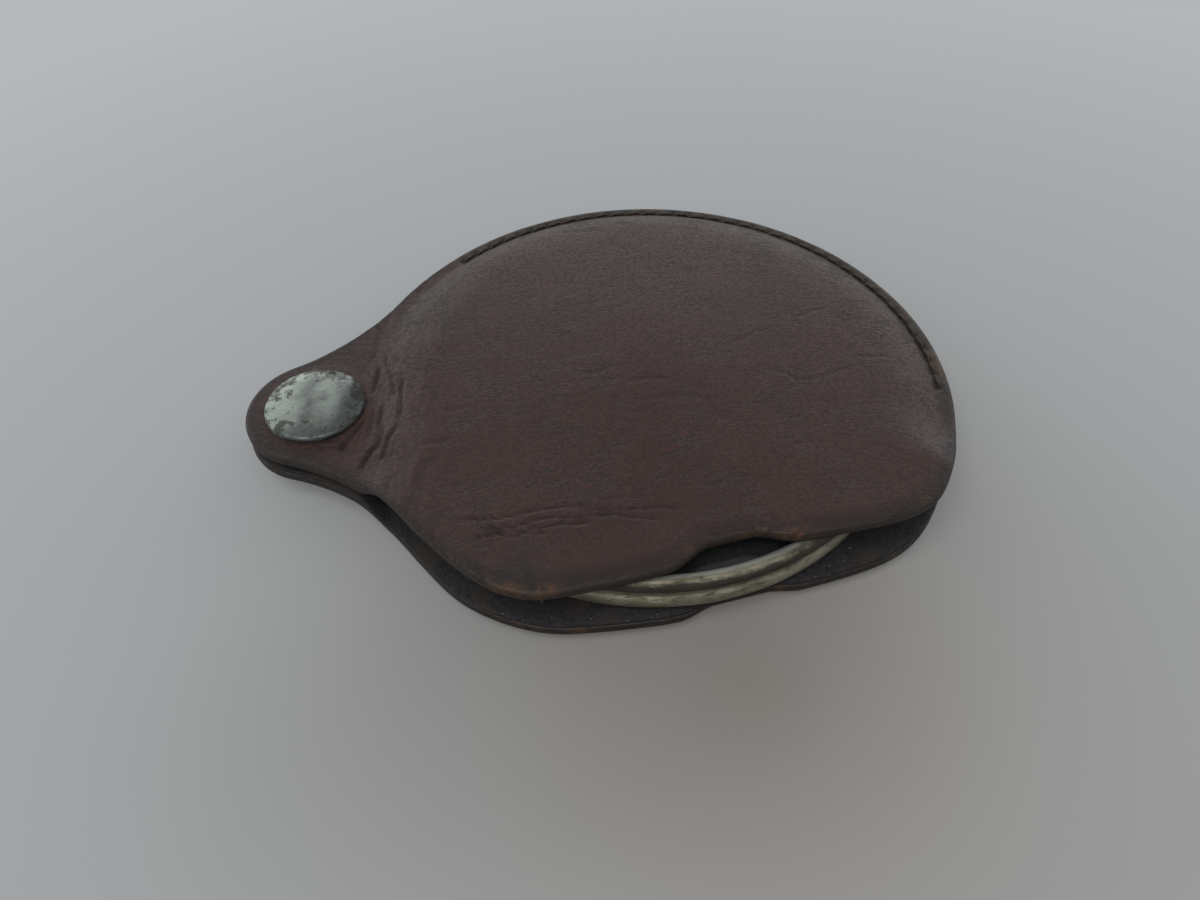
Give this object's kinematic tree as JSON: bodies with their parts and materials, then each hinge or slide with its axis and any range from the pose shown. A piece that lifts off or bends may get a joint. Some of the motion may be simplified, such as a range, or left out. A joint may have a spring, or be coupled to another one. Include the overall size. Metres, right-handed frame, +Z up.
{
  "type": "pocket magnifier",
  "caption": "Round magnifying lens in a beaded metal rim that swings out of a flat, teardrop-shaped, sewn leather case on a capped rivet.",
  "frame": {"origin": "on the table, at the middle of the flat patch of the rear leaf, under the centre of the round body of the case", "axes": "+X from the rivet towards the round end of the case, +Y towards the sewn side, -Y towards the open side with the thumb notch, +Z up through the front leaf"},
  "size_m": [0.0654, 0.0524, 0.0078],
  "materials": {
    "case_leather": "matt, fine grain, worn at the cut edges",
    "case_lining": "matt, fibrous, blue-black",
    "seam_thread": "dark olive-brown waxed thread",
    "lens_glass": "polished, clear",
    "rim_nickel": "old nickel plate with dark specks",
    "rivet_nickel": "worn satin nickel plate with dark specks"
  },
  "bodies": {
    "case": {"front_leather": "case_leather", "front_lining": "case_lining", "rear_leather": "case_leather", "rear_lining": "case_lining", "needle_thread": "seam_thread", "bobbin_thread": "seam_thread", "rivet_front_cap": "rivet_nickel", "rivet_socket": "rivet_nickel", "rivet_rear_cap": "rivet_nickel", "rivet_post": "rivet_nickel"},
    "magnifier": {"lens": "lens_glass", "front_rim": "rim_nickel", "rear_rim": "rim_nickel"}
  },
  "joints": [
    {"name": "swing_out", "type": "hinge", "parent": "case", "child": "magnifier", "pos_m": [-0.03135, 0, 0.00376], "axis": [0, 0, -1], "range_deg": [0, 245]}
  ]
}
